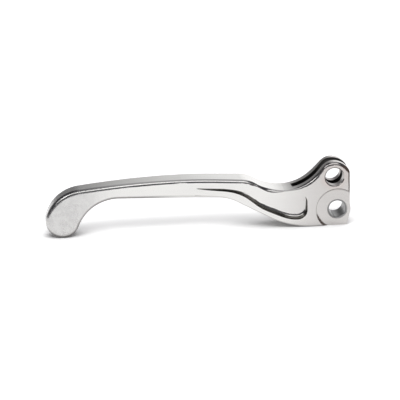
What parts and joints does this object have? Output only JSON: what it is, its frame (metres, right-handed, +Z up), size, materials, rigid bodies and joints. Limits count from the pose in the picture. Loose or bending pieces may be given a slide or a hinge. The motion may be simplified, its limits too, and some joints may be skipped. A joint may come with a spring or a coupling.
{
  "type": "clutch lever",
  "caption": "Motorcycle clutch lever: a tapered blade with a rounded ball end, a pocketed neck, and a slotted hub with a barrel bore above a bushed pivot bore.",
  "frame": {"origin": "middle of the pivot bore, on its axis and at mid thickness of the hub", "axes": "+X along the lever from the ball end towards the hub, +Y along the pivot bore's axis, +Z up from the pivot towards the barrel bore, as the lever stands on its lower edge"},
  "size_m": [0.1726, 0.0164, 0.0371],
  "materials": {
    "polished_aluminium": "polished",
    "bush_lining": "satin, wrapped, with an open seam"
  },
  "bodies": {
    "root": {"lever_body": "polished_aluminium", "pivot_bush_front": "bush_lining", "pivot_bush_rear": "bush_lining"}
  },
  "joints": []
}
